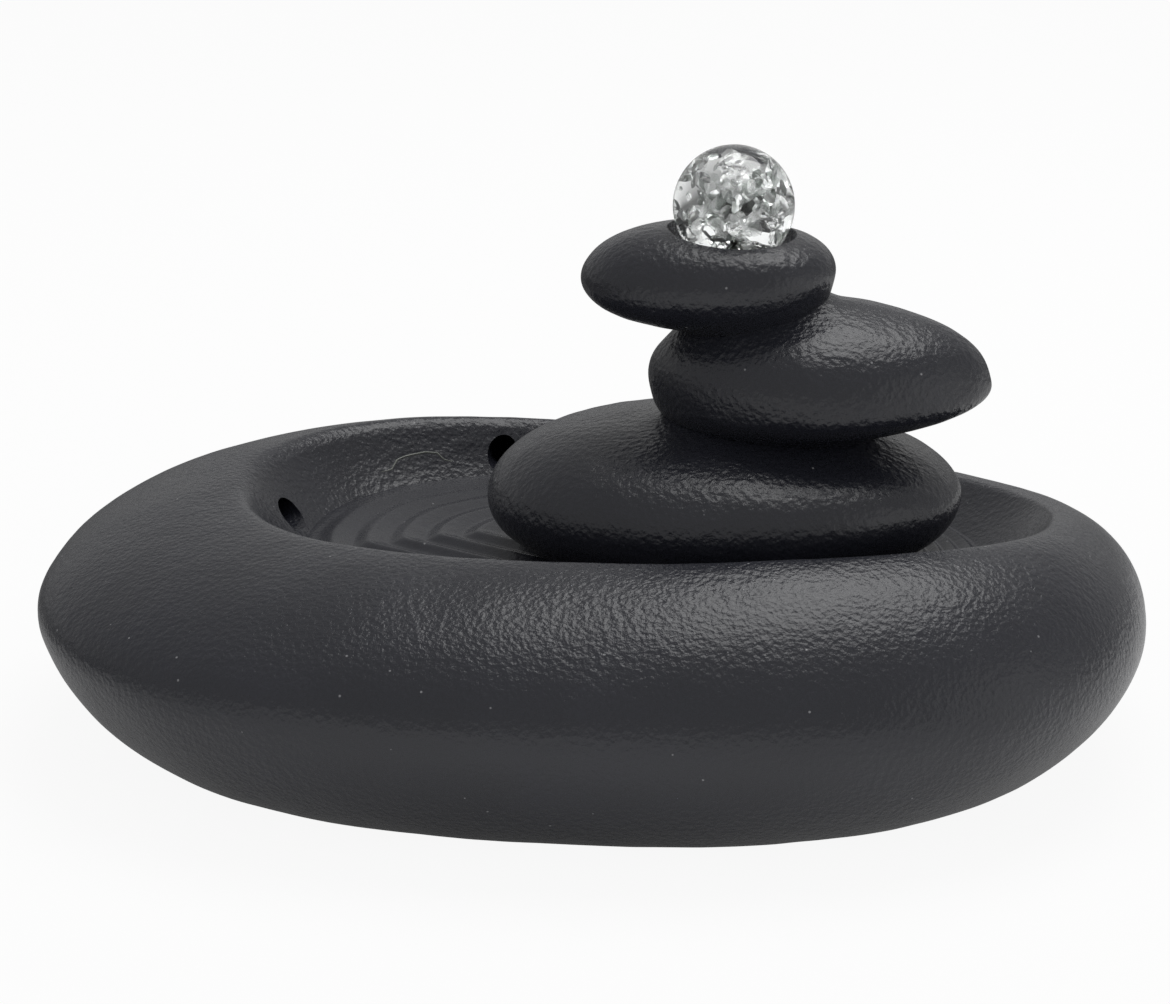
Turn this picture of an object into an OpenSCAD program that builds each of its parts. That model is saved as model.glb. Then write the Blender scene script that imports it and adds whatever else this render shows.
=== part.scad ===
/* [Bowl] */
// Overall length of the bowl along X
bowl_l = 279; // [272:0.5:286]
// Overall width of the bowl along Y
bowl_w = 207; // [204:0.5:211]
// Height of the widest line of the bowl
belly_h = 36.6; // [35.4:0.1:37.6]
// Fall of the widest line from the left end to the right end
belly_tilt = -1.8; // [-2.5:0.1:0]
// Mean height of the rim
rim_h = 58.4; // [57.5:0.1:60]
// Rise of the rim towards the front
rim_rise = 6; // [4:0.1:7]
// Twist of the rim between its corners
rim_twist = 6.7; // [4:0.1:7.5]
// Size of the foot against the widest outline
foot_ratio = 0.745; // [0.725:0.005:0.76]
// Exponent of the outline in plan, 1 is an ellipse
plan_pow = 0.83; // [0.8:0.01:0.88]
// Exponent of the lower side profile, 2 is an ellipse
low_pow = 1.6; // [1.54:0.01:1.72]
// Exponent of the upper side profile, 2 is an ellipse
up_pow = 1.62; // [1.55:0.01:1.75]
// Thickness of the cast wall
wall_t = 5.5; // [5:0.1:6]

/* [Pool] */
// Length of the pool edge
pool_l = 205.6; // [202:0.2:208]
// Width of the pool edge
pool_w = 142.6; // [139:0.2:144]
// Centre of the pool along X
pool_x = 12.2; // [11:0.1:13]
// Centre of the pool along Y
pool_y = 12.3; // [11:0.1:13]
// Turn of the pool oval, degrees
pool_turn = -6.3; // [-7:0.1:-4]
// Exponent of the pool oval, 1 is an ellipse
pool_pow = 0.91; // [0.88:0.01:0.96]
// Width of the crest outside the pool edge
crest_w = 1.5; // [1:0.1:2]
// Drop from the crest to the pool edge
lip_drop = 0.5; // [0.3:0.1:0.8]
// Size of the raked floor against the pool edge
floor_ratio = 0.85; // [0.83:0.01:0.87]
// Height of the raked floor
floor_z = 43; // [42.5:0.1:43.4]
// Thickness of the deck under the floor
deck_t = 4; // [3.6:0.1:4.4]
// Height of one raked line
ripple_h = 1.5; // [0.8:0.1:1.7]
// Distance from one raked line to the next
ripple_w = 9.2; // [8.6:0.1:9.8]
// Width of each drain slot
drain_w = 7.6; // [6.8:0.1:8]
// Height of each drain slot
drain_h = 8.2; // [8:0.1:8.8]

/* [Pump well] */
// Length of the well opening through the deck
well_l = 49; // [47:0.5:50]
// Width of the well opening through the deck
well_w = 35; // [34:0.5:36]
// Width of the curb that carries the stones
curb_w = 4; // [3:0.1:4.5]

/* [Base] */
// Thickness of the base plate
plate_t = 4; // [3.6:0.1:4.4]
// Width of the casting outside the base plate
foot_wall = 6; // [5.5:0.1:7]
// Diameter of a foot pad
pad_d = 18; // [14:0.5:20]

/* [Stones] */
// Position of the water column along X
stack_x = 34.2; // [33.8:0.1:34.8]
// Position of the water column along Y
stack_y = 8; // [7.6:0.1:8.4]
// Diameter of the bore through the stones
bore_d = 12; // [11.8:0.1:12.4]
// Diameter of the chamber under the lower stone
chamber_d = 32; // [31:0.2:33]
// Diameter of the cup in the upper stone
cup_d = 32.6; // [32:0.1:33.4]
// Diameter of a locating dowel
dowel_d = 4; // [3:0.2:5]
// Half length of the lower stone
low_a = 59.1; // [58.4:0.1:60]
// Half width of the lower stone
low_b = 44.4; // [43.6:0.1:45]
// Height of the lower stone above its widest line
low_up = 19.6; // [19.2:0.1:20.2]
// Depth of the lower stone below its widest line
low_dn = 20.4; // [20:0.1:20.8]
// Half length of the middle stone
mid_a = 42.4; // [42:0.1:43.4]
// Half width of the middle stone
mid_b = 30.4; // [29.8:0.1:31.2]
// Height of the middle stone above its widest line
mid_up = 23; // [22.6:0.1:23.4]
// Depth of the middle stone below its widest line
mid_dn = 13.3; // [13:0.1:13.8]
// Half length of the upper stone
top_a = 30.7; // [30.2:0.1:31.4]
// Half width of the upper stone
top_b = 24; // [23.8:0.1:24.8]
// Height of the upper stone above its widest line
top_up = 12.9; // [12.7:0.1:13.4]
// Depth of the upper stone below its widest line
top_dn = 12.6; // [12.3:0.1:13]

/* [Ball and light] */
// Diameter of the glass ball
ball_d = 30; // [29:0.1:30.6]
// Outer diameter of the light housing
light_d = 24.6; // [24:0.1:25]
// Height of the light housing
light_h = 7; // [6.8:0.1:7.4]
// Outer diameter of the riser tube
riser_d = 7; // [6.8:0.1:7.2]
// Inner diameter of the riser tube
riser_id = 5; // [4.6:0.1:5.2]
// Diameter of the light lead
lead_d = 1.8; // [1.6:0.1:1.9]

/* [Pump] */
// Length of the pump housing
pump_l = 34; // [33:0.2:36]
// Width of the pump housing
pump_w = 26; // [25.4:0.2:27]
// Height of the pump housing
pump_h = 24; // [23.6:0.1:24.4]
// Diameter of the impeller
impeller_d = 16.6; // [15:0.1:17.2]
// Diameter of the ceramic shaft
shaft_d = 2; // [1.8:0.1:2.2]

/* [Power socket] */
// Position of the power socket along X
inlet_x = 20; // [10:0.5:30]
// Height of the power socket
inlet_z = 22; // [21:0.5:24]
// Bore of the power socket for its plug
socket_d = 5.6; // [5.4:0.1:5.7]

/* [Clearances] */
// Radial clearance of a part that turns or slides in a bore
run_gap = 0.05; // [0.02:0.01:0.08]
// Clearance of the ball in its seat, the water film
film_gap = 0.08; // [0.05:0.01:0.1]
// Gap under the stones, above the curb
rest_gap = 0.3; // [0.3:0.05:0.6]
// Width of the seal round the base plate
seal_t = 0.4; // [0.3:0.05:0.6]

/* [Hidden] */
$fn = 64;

eps = 0.01;
turns = 72;
step = 360 / turns;

plate_z = 1;
foot_z = 0.4;
tank_z = plate_z + plate_t;
flange_t = 3;
deck_z = floor_z - deck_t;
curb_z = 44.7;
seat_z = curb_z + rest_gap;
ball_r = ball_d / 2;

// middles of the stones, and the tilted seats between them
LOW_AT = [stack_x - 1.6, stack_y, seat_z + 16.4];
MID_AT = LOW_AT + [23.7, 0, 28.6];
TOP_AT = MID_AT + [-28.4, 0, 27.4];
SEAT_LOW = LOW_AT + [13.8, 0, 17.9];
SEAT_LOW_TILT = -4;
SEAT_UP = MID_AT + [-15.2, 0, 18.4];
SEAT_UP_TILT = 12.7;
DOWEL_LOW = SEAT_LOW + [7.6, 0, -0.5];
DOWEL_UP = SEAT_UP + [7.4, 0, 1.7];

chamber_top = seat_z + 15;
cup_z = TOP_AT[2] + 1.6;
light_z = cup_z - light_h;
seat_top_z = cup_z + 5;
ball_z = cup_z + 1 + ball_r;
seat_r = 11.5;

pump_x1 = stack_x + 4;
pump_x0 = pump_x1 - pump_l;
pump_z0 = 8.5;
pump_cz = pump_z0 + pump_h / 2;
pump_top = pump_z0 + pump_h;
chamber_r = impeller_d / 2 + 1.2;
chamber_t = 7;
can_r = 7.2;
rotor_bore_r = 6;
stub_top = 42;
plug_x = stack_x - 9.5;
lead_x = stack_x - riser_d / 2 - 0.3 - lead_d / 2;

// power of a signed number
function spow(x, p) = sign(x) * pow(abs(x), p);
function mix(a, b, t) = a + (b - a) * t;
function turned(p, a) = [p[0] * cos(a) - p[1] * sin(a), p[0] * sin(a) + p[1] * cos(a)];

// outline of the bowl at its widest line, moved in by e
function bowl_xy(th, e) = [
    (bowl_l / 2 - e) * spow(cos(th), plan_pow),
    (bowl_w / 2 - e) * spow(sin(th), plan_pow)];
function belly_z(th) = belly_h + belly_tilt * cos(th);
function crest_z(th) = rim_h - rim_rise * sin(th) - rim_twist * sin(th) * cos(th);

// oval of the pool, scaled by k and moved out by e
function pool_xy(th, k, e) = [pool_x, pool_y] + turned([
    (pool_l / 2 * k + e) * spow(cos(th), pool_pow),
    (pool_w / 2 * k + e) * spow(sin(th), pool_pow)], pool_turn);

// oval under the stones, moved out by e
function well_xy(th, e) = [stack_x - 0.6, stack_y] + [
    (well_l / 2 + e) * cos(th), (well_w / 2 + e) * sin(th)];

// outline of the base plate, moved out by e
function plate_xy(th, e) = [
    (bowl_l / 2 * foot_ratio - foot_wall + e) * spow(cos(th), plan_pow),
    (bowl_w / 2 * foot_ratio - foot_wall + e) * spow(sin(th), plan_pow)];

// side of the bowl below its widest line, t from the foot to the belly
function low_pt(th, t, e) =
    let (r = bowl_xy(th, e), k = pow(sin(90 * t), 2 / low_pow),
        h = 1 - pow(cos(90 * t), 2 / low_pow), xy = r * mix(foot_ratio, 1, k))
    [xy[0], xy[1], mix(foot_z, belly_z(th), h)];

// side of the bowl above its widest line, t from the belly to the crest
function up_pt(th, t, e, top, drop) =
    let (a = bowl_xy(th, e), b = pool_xy(th, 1, top),
        k = 1 - pow(cos(90 * t), 2 / up_pow), h = pow(sin(90 * t), 2 / up_pow),
        xy = a + (b - a) * k)
    [xy[0], xy[1], mix(belly_z(th), crest_z(th) - drop, h)];

// pool wall, t from the edge to the floor
function wall_pt(th, t) =
    let (xy = pool_xy(th, mix(1, floor_ratio, t), 0))
    [xy[0], xy[1], mix(crest_z(th) - lip_drop, floor_z, t)];

// the raked lines run along the wall, and slantwise where they meet the front
function rake_phase(p, t) =
    min(run * t, 43.7 + 0.593 * p[0] + 1.053 * p[1]) / ripple_w - 0.03;
// side view of a raked line: steep on the outer side, gentle on the inner one
function rake_side(f) =
    f < 0.36 ? (0.36 - f) / 0.72 : f < 0.64 ? (f - 0.36) / 0.28 : 1 - (f - 0.64) / 0.72;
function limit(v, a, b) = max(a, min(b, v));

// raked floor, t from the pool wall to the curb
function deck_pt(th, t) =
    let (a = pool_xy(th, floor_ratio, 0), b = well_xy(th, curb_w + 0.8),
        xy = a + (b - a) * t, f = rake_phase(xy, t),
        fade = limit(t / 0.04, 0, 1) * limit((1 - t) / 0.15, 0, 1)
            * mix(1, 0.3, limit((xy[1] - 5) / 45, 0, 1)))
    [xy[0], xy[1], floor_z + 0.4 * t + ripple_h * fade * rake_side(f - floor(f))];

function flat_pt(xy, z) = [xy[0], xy[1], z];

LOW_ROWS = [0, 0.15, 0.32, 0.49, 0.65, 0.79, 0.91, 1];
UP_ROWS = [0.09, 0.21, 0.35, 0.5, 0.66, 0.82, 0.93, 1];
// width of the floor at its widest, and the rows that give each raked line its shape
run = 80;
lines = floor(run / ripple_w - 0.7);
RAKE_ROWS = [for (i = [0:lines], f = [0.39, 0.67]) (i + f) * ripple_w / run];

RINGS = concat(
    [for (t = LOW_ROWS) [for (i = [0:turns - 1]) low_pt(i * step, t, 0)]],
    [for (t = UP_ROWS) [for (i = [0:turns - 1]) up_pt(i * step, t, 0, crest_w, 0)]],
    [for (t = [0, 0.3, 0.65, 1]) [for (i = [0:turns - 1]) wall_pt(i * step, t)]],
    [for (t = RAKE_ROWS) [for (i = [0:turns - 1]) deck_pt(i * step, t)]],
    [[for (i = [0:turns - 1]) deck_pt(i * step, 1)]],
    [[for (i = [0:turns - 1]) flat_pt(well_xy(i * step, curb_w), curb_z)]],
    [[for (i = [0:turns - 1]) flat_pt(well_xy(i * step, 0), curb_z)]],
    [[for (i = [0:turns - 1]) flat_pt(well_xy(i * step, 0), deck_z)]],
    [[for (i = [0:turns - 1]) flat_pt(pool_xy(i * step, floor_ratio, 3), deck_z)]],
    [for (t = [1:-1 / 5:0.1])
        [for (i = [0:turns - 1]) up_pt(i * step, t, wall_t, wall_t, wall_t + 0.5)]],
    [for (t = [1:-1 / 5:0.5])
        [for (i = [0:turns - 1]) low_pt(i * step, t, wall_t)]],
    [[for (i = [0:turns - 1]) let (p = low_pt(i * step, 0.4, wall_t))
        flat_pt(p, tank_z + flange_t)]],
    [[for (i = [0:turns - 1]) flat_pt(plate_xy(i * step, -4.5), tank_z + flange_t)]],
    [[for (i = [0:turns - 1]) flat_pt(plate_xy(i * step, -4.5), tank_z)]],
    [[for (i = [0:turns - 1]) flat_pt(plate_xy(i * step, seal_t), tank_z)]],
    [[for (i = [0:turns - 1]) flat_pt(plate_xy(i * step, seal_t), foot_z)]]
);

// closed ring of rings as one solid
module ring_solid(rings) {
    n = len(rings);
    pts = [for (r = rings, p = r) p];
    tri = [for (i = [0:n - 1], j = [0:turns - 1], k = [0:1])
        let (a = i * turns + j, b = i * turns + (j + 1) % turns,
            c = ((i + 1) % n) * turns + (j + 1) % turns,
            d = ((i + 1) % n) * turns + j)
        k == 0 ? [a, c, b] : [a, d, c]];
    polyhedron(points = pts, faces = tri, convexity = 10);
}

// slot with round ends along +Y, its middle at the origin
module slot_y(w, h, depth) {
    rise = (h - w) / 2;
    for (s = [-1, 1])
        translate([0, 0, s * rise]) rotate([-90, 0, 0]) cylinder(d = w, h = depth);
    translate([-w / 2, 0, -rise]) cube([w, depth, 2 * rise]);
}

// drain slots: angle round the pool, the way each one points, and its rise
DRAINS = [[184, 150, 0.1], [122.2, 90, 0.9]];

module drain(th, aim, rise) {
    p = wall_pt(th, 0.7);
    translate([p[0], p[1], floor_z + drain_h / 2 + rise]) rotate([0, 0, aim - 90])
        translate([0, -5.4, 0]) slot_y(drain_w, drain_h, 19);
}

module basin_casting() {
    color([0.13, 0.13, 0.14])
    difference() {
        ring_solid(RINGS);
        for (d = DRAINS) drain(d[0], d[1], d[2]);
        translate([inlet_x, bowl_w / 2 - 6, inlet_z]) rotate([-90, 0, 0])
            cylinder(r = 9, h = 20);
        translate([inlet_x, bowl_w / 2 - 21, inlet_z]) rotate([-90, 0, 0])
            cylinder(r = 9, h = 10);
        translate([inlet_x, bowl_w / 2 - 20, inlet_z]) rotate([-90, 0, 0])
            cylinder(r = 4, h = 20);
    }
}

module plate_outline(e) {
    polygon([for (i = [0:turns - 1]) plate_xy(i * step, e)]);
}

PADS = [[-62, -36], [62, -36], [-62, 36], [62, 36]];

module base_plate() {
    color([0.16, 0.16, 0.17])
    difference() {
        translate([0, 0, plate_z]) linear_extrude(plate_t) plate_outline(0);
        for (p = PADS)
            translate([p[0], p[1], plate_z - eps]) cylinder(d = pad_d, h = 0.8 + eps);
    }
}

module base_seal() {
    color([0.3, 0.3, 0.3])
    translate([0, 0, plate_z]) linear_extrude(plate_t)
    difference() {
        plate_outline(seal_t);
        plate_outline(0);
    }
}

module foot_pad(i) {
    color([0.08, 0.08, 0.08])
    translate([PADS[i][0], PADS[i][1], 0]) cylinder(d = pad_d, h = plate_z + 0.8);
}
module foot_pad_a() { foot_pad(0); }
module foot_pad_b() { foot_pad(1); }
module foot_pad_c() { foot_pad(2); }
module foot_pad_d() { foot_pad(3); }

lats = 22;
lons = 44;

// point of a pebble: half sizes h, heights up and down, taper, tilt, lean and exponents
function pebble_pt(u, th, h, taper, tilt, lean, pw) =
    let (r = pow(abs(cos(u)), pw[0]), q = spow(sin(u), pw[1]),
        x = h[0] * r * spow(cos(th), pw[2]), s = 1 - taper * x / h[0],
        y = h[1] * r * spow(sin(th), pw[2]) * s,
        z = (q > 0 ? h[2] : h[3]) * q * s, xl = x + lean * z)
    [xl * cos(tilt) - z * sin(tilt), y, xl * sin(tilt) + z * cos(tilt)];

module pebble(at, h, taper, tilt, lean, pw) {
    mid = lats - 1;
    pts = concat(
        [pebble_pt(-90, 0, h, taper, tilt, lean, pw)],
        [for (i = [1:mid], j = [0:lons - 1])
            pebble_pt(-90 + i * 180 / lats, j * 360 / lons, h, taper, tilt, lean, pw)],
        [pebble_pt(90, 0, h, taper, tilt, lean, pw)]);
    last = mid * lons + 1;
    faces = concat(
        [for (j = [0:lons - 1]) [0, 1 + j, 1 + (j + 1) % lons]],
        [for (i = [0:mid - 2], j = [0:lons - 1], k = [0:1])
            let (a = 1 + i * lons + j, b = 1 + i * lons + (j + 1) % lons,
                c = 1 + (i + 1) * lons + (j + 1) % lons, d = 1 + (i + 1) * lons + j)
            k == 0 ? [a, c, b] : [a, d, c]],
        [for (j = [0:lons - 1])
            [last, 1 + (mid - 1) * lons + (j + 1) % lons, 1 + (mid - 1) * lons + j]]);
    translate(at) polyhedron(points = pts, faces = faces, convexity = 4);
}

// half space above (up = 1) or below (up = -1) a tilted seat plane
module beyond(at, tilt, up) {
    translate(at) rotate([0, -tilt, 0])
        translate([-100, -100, up > 0 ? 0 : -100]) cube([200, 200, 100]);
}

module column(d, z0, z1) {
    translate([stack_x, stack_y, z0]) cylinder(d = d, h = z1 - z0);
}

module stone_lower() {
    color([0.15, 0.15, 0.16])
    difference() {
        pebble(LOW_AT, [low_a, low_b, low_up, low_dn], 0.042, -2.2, 0.328,
            [0.83, 0.969, 0.957]);
        beyond(SEAT_LOW, SEAT_LOW_TILT, 1);
        translate([-100, -100, seat_z - 100]) cube([300, 300, 100]);
        column(chamber_d, seat_z - 1, chamber_top);
        column(bore_d, seat_z + 5, SEAT_LOW[2] + 10.7);
        translate(DOWEL_LOW - [0, 0, 6]) cylinder(d = dowel_d, h = 12);
    }
}

module stone_middle() {
    color([0.15, 0.15, 0.16])
    difference() {
        pebble(MID_AT, [mid_a, mid_b, mid_up, mid_dn], 0.046, 3.8, -0.171,
            [1.45, 0.752, 1.2]);
        beyond(SEAT_LOW, SEAT_LOW_TILT, -1);
        beyond(SEAT_UP, SEAT_UP_TILT, 1);
        column(bore_d, SEAT_LOW[2] - 9.3, SEAT_UP[2] + 11.6);
        translate(DOWEL_LOW - [0, 0, 6]) cylinder(d = dowel_d, h = 12);
        translate(DOWEL_UP - [0, 0, 6]) cylinder(d = dowel_d, h = 12);
    }
}

module stone_upper() {
    color([0.15, 0.15, 0.16])
    difference() {
        pebble(TOP_AT, [top_a, top_b, top_up, top_dn], -0.046, -4.2, 0.444,
            [0.716, 0.971, 0.97]);
        beyond(SEAT_UP, SEAT_UP_TILT, -1);
        column(bore_d, SEAT_UP[2] - 8.4, cup_z + 1);
        column(light_d, light_z, cup_z + 1);
        column(cup_d, cup_z, cup_z + 21);
        translate(DOWEL_UP - [0, 0, 6]) cylinder(d = dowel_d, h = 12);
    }
}

module dowel_lower() {
    color([0.7, 0.7, 0.72])
    translate(DOWEL_LOW - [0, 0, 5.7]) cylinder(d = dowel_d, h = 11.4);
}

module dowel_upper() {
    color([0.7, 0.7, 0.72])
    translate(DOWEL_UP - [0, 0, 5.7]) cylinder(d = dowel_d, h = 11.4);
}

module glass_ball() {
    color([0.85, 0.9, 0.9, 0.5])
    translate([stack_x, stack_y, ball_z]) sphere(r = ball_r, $fn = 64);
}

module ball_seat() {
    color([0.8, 0.85, 0.85, 0.6])
    difference() {
        column(2 * seat_r, cup_z, seat_top_z);
        column(riser_d, cup_z - 1, seat_top_z + 1);
        translate([stack_x, stack_y, ball_z]) sphere(r = ball_r + film_gap, $fn = 64);
    }
}

module riser_tube() {
    color([0.75, 0.75, 0.7, 0.7])
    difference() {
        column(riser_d, pump_top + 2.5, cup_z + 0.3);
        column(riser_id, pump_top, cup_z + 1);
    }
}

module riser_grommet() {
    color([0.1, 0.1, 0.1])
    difference() {
        column(bore_d, chamber_top + 2, chamber_top + 8);
        column(riser_d, chamber_top + 1, chamber_top + 9);
        translate([lead_x, stack_y, chamber_top + 1]) cylinder(d = lead_d, h = 8);
    }
}

module led_housing() {
    color([0.2, 0.2, 0.2])
    difference() {
        column(light_d, light_z, cup_z);
        column(light_d - 2.4, light_z + 1.5, cup_z + 1);
        column(riser_d, light_z - 1, cup_z);
        translate([lead_x, stack_y, light_z - 1]) cylinder(d = lead_d, h = 4);
    }
}

module light_ring(z0, z1) {
    difference() {
        column(light_d - 2.4, z0, z1);
        column(riser_d, z0 - 1, z1 + 1);
    }
}

module led_potting() {
    color([0.1, 0.1, 0.12])
    difference() {
        light_ring(light_z + 1.5, light_z + 3);
        translate([lead_x, stack_y, light_z]) cylinder(d = lead_d, h = 4);
    }
}

module led_board() {
    color([0.05, 0.35, 0.15])
    light_ring(light_z + 3, light_z + 4);
}

module led_lens() {
    color([0.85, 0.9, 0.9, 0.5])
    light_ring(light_z + 5.5, cup_z);
}

module led_emitter(a) {
    color([0.95, 0.9, 0.6])
    translate([stack_x + 7.5 * cos(a), stack_y + 7.5 * sin(a), light_z + 4])
        cylinder(r = 1.6, h = 1.5);
}
module led_emitter_a() { led_emitter(60); }
module led_emitter_b() { led_emitter(180); }
module led_emitter_c() { led_emitter(300); }

// round cord through a list of points in the XZ plane at y
module cord_xz(pts, y, d) {
    for (i = [0:len(pts) - 2]) {
        v = pts[i + 1] - pts[i];
        translate([pts[i][0], y, pts[i][1]])
            rotate([0, atan2(v[0], v[1]), 0]) cylinder(d = d, h = norm(v));
    }
    for (i = [1:len(pts) - 2])
        translate([pts[i][0], y, pts[i][1]]) sphere(d = d + 0.1, $fn = 24);
}

module led_lead() {
    color([0.1, 0.1, 0.1])
    cord_xz([[plug_x, seat_z + 1.8], [plug_x, seat_z + 5], [lead_x, seat_z + 11],
        [lead_x, light_z + 3]],
        stack_y, lead_d);
}

module led_plug() {
    color([0.12, 0.12, 0.12])
    translate([plug_x, stack_y, 0]) union() {
        translate([0, 0, pump_top + 6.3]) cylinder(r = 3, h = seat_z - pump_top - 4.5);
        translate([0, 0, pump_top + 1]) cylinder(r = 1.5, h = 6);
    }
}

module led_socket() {
    color([0.15, 0.15, 0.15])
    translate([plug_x, stack_y, pump_top]) difference() {
        cylinder(r = 3.6, h = 6);
        translate([0, 0, 0.6]) cylinder(r = 1.5 + run_gap, h = 6);
    }
}

// cylinder along X on the pump axis
module on_axis(r, x0, x1) {
    translate([x0, stack_y, pump_cz]) rotate([0, 90, 0]) cylinder(r = r, h = x1 - x0);
}

FEET = [[pump_x0 + 6, -8], [pump_x0 + 6, 8], [pump_x1 - 6, -8], [pump_x1 - 6, 8]];
cover_x = pump_x1 - chamber_t;

module pump_housing() {
    color([0.12, 0.12, 0.13])
    difference() {
        union() {
            translate([pump_x0, stack_y - pump_w / 2 + 3, pump_z0])
                cube([pump_l, pump_w - 6, pump_h]);
            translate([pump_x0 + 3, stack_y - pump_w / 2, pump_z0])
                cube([pump_l - 6, pump_w, pump_h]);
            for (x = [pump_x0 + 3, pump_x1 - 3], s = [-1, 1])
                translate([x, stack_y + s * (pump_w / 2 - 3), pump_z0])
                    cylinder(r = 3, h = pump_h);
            column(riser_id - 2 * run_gap, pump_top - 1, stub_top);
            column(2 * (pump_x1 - stack_x) - 0.4, pump_top - 1, pump_top + 2);
        }
        difference() {
            translate([pump_x0 - 1, stack_y - 10.8, pump_cz - 10])
                cube([22, 21.6, 20]);
            on_axis(can_r, pump_x0 + 6.5, pump_x1);
            on_axis(3, pump_x0 + 4.6, pump_x1);
        }
        on_axis(rotor_bore_r, pump_x0 + 8, pump_x1);
        on_axis(shaft_d / 2, pump_x0 + 5.6, pump_x1);
        on_axis(chamber_r, cover_x, pump_x1 + 1);
        column(3.2, pump_cz, stub_top + 1);
        for (f = FEET)
            translate([f[0], stack_y + f[1], pump_z0 - 1]) cylinder(r = 1, h = 3);
        translate([pump_x0 + 10, stack_y + pump_w / 2 - 6, pump_z0 + 5])
            rotate([-90, 0, 0]) cylinder(r = 1.5, h = 10);
    }
}

module pump_back_cover() {
    color([0.1, 0.1, 0.1])
    translate([pump_x0, stack_y - 10.8, pump_cz - 10]) cube([1.8, 21.6, 20]);
}

module driver_board() {
    color([0.05, 0.35, 0.15])
    translate([pump_x0 + 1.8, stack_y - 9, pump_cz - 8.5]) cube([1.4, 18, 17]);
}

core_x0 = pump_x0 + 8;
core_x1 = pump_x0 + 19;

module stator_core() {
    color([0.45, 0.45, 0.48])
    difference() {
        on_axis(9.8, core_x0, core_x1);
        on_axis(can_r, core_x0 - 1, core_x1 + 1);
        on_axis(9.2, core_x0 + 1, core_x1 - 1);
    }
}

module stator_coil() {
    color([0.75, 0.4, 0.2])
    difference() {
        on_axis(9.2, core_x0 + 1, core_x1 - 1);
        on_axis(can_r, core_x0, core_x1);
    }
}

module pump_shaft() {
    color([0.92, 0.92, 0.9])
    on_axis(shaft_d / 2, pump_x0 + 5.6, pump_x1 + 1.6);
}

module rotor_magnet() {
    color([0.3, 0.3, 0.32])
    difference() {
        on_axis(5.4, pump_x0 + 8.8, cover_x - 1.2);
        on_axis(2.3, pump_x0, pump_x1);
    }
}

module impeller() {
    color([0.9, 0.9, 0.88])
    difference() {
        union() {
            on_axis(2.3, pump_x0 + 8.5, pump_x1 - 2.4);
            on_axis(impeller_d / 2, cover_x + 0.6, cover_x + 1.5);
            for (a = [0:60:300])
                translate([0, stack_y, pump_cz]) rotate([a, 0, 0])
                    translate([cover_x + 1, -0.5, 1.8])
                        cube([chamber_t - 3.4, 1, impeller_d / 2 - 2]);
        }
        on_axis(shaft_d / 2 + run_gap, pump_x0, pump_x1);
    }
}

module volute_cover() {
    color([0.14, 0.14, 0.15])
    difference() {
        union() {
            on_axis(12, pump_x1 + 0.6, pump_x1 + 2.6);
            on_axis(chamber_r - run_gap, pump_x1 - 1.5, pump_x1 + 1);
            for (s = [-1, 1]) {
                translate([pump_x1 + 2.5, stack_y - 8, pump_cz + s * 8.9 - 1])
                    cube([2.3, 16, 2]);
                translate([pump_x1 + 4.4, stack_y - 8, pump_cz + s * 7.9 - 1.5])
                    cube([1.2, 16, 3]);
            }
        }
        on_axis(2.2, pump_x1 - 2, pump_x1 + 2);
        for (a = [30:60:330])
            translate([0, stack_y, pump_cz]) rotate([a, 0, 0])
                translate([pump_x1 - 2, 0, 5.2]) rotate([0, 90, 0])
                    cylinder(r = 1.7, h = 6);
    }
}

module front_bush() {
    color([0.1, 0.1, 0.1])
    difference() {
        on_axis(2.2, pump_x1 - 1.5, pump_x1 + 2);
        on_axis(shaft_d / 2 + run_gap, pump_x1 - 2, pump_x1 + 1.8);
    }
}

module cover_seal() {
    color([0.08, 0.08, 0.08])
    difference() {
        on_axis(11.4, pump_x1, pump_x1 + 0.6);
        on_axis(chamber_r + 0.1, pump_x1 - 1, pump_x1 + 1);
    }
}

module flow_slider() {
    color([0.2, 0.2, 0.22])
    difference() {
        union() {
            translate([pump_x1 + 2.9, stack_y - 7, pump_cz - 7.6]) cube([1.2, 12, 15.2]);
            translate([pump_x1 + 2.9, stack_y - 7, pump_cz - 2]) cube([3.2, 1.6, 4]);
        }
        for (a = [30:60:330])
            translate([0, stack_y - 2, pump_cz]) rotate([a, 0, 0])
                translate([pump_x1 + 2, 0, 5.2]) rotate([0, 90, 0])
                    cylinder(r = 1.5, h = 4);
    }
}

module suction_foot(i) {
    color([0.1, 0.1, 0.1])
    translate([FEET[i][0], stack_y + FEET[i][1], 0]) union() {
        translate([0, 0, tank_z]) cylinder(r1 = 4, r2 = 2, h = pump_z0 - tank_z);
        translate([0, 0, pump_z0 - 0.5]) cylinder(r = 1, h = 2.5);
    }
}
module suction_foot_a() { suction_foot(0); }
module suction_foot_b() { suction_foot(1); }
module suction_foot_c() { suction_foot(2); }
module suction_foot_d() { suction_foot(3); }

inlet_y = bowl_w / 2 - 6;

// cylinder along Y on the socket axis
module on_inlet(r, y0, y1) {
    translate([inlet_x, inlet_y + y0, inlet_z]) rotate([-90, 0, 0])
        cylinder(r = r, h = y1 - y0);
}

module power_inlet() {
    color([0.1, 0.1, 0.1])
    difference() {
        union() {
            on_inlet(7.5, 0, 2);
            on_inlet(4, -14, 1);
        }
        on_inlet(socket_d / 2, -9, 3);
        on_inlet(1, -14, -8);
    }
}

module inlet_pin() {
    color([0.8, 0.75, 0.5])
    on_inlet(1, -13.5, 0.5);
}

module inlet_washer() {
    color([0.08, 0.08, 0.08])
    difference() {
        on_inlet(7, -6, -5);
        on_inlet(4, -7, 0);
    }
}

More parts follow.
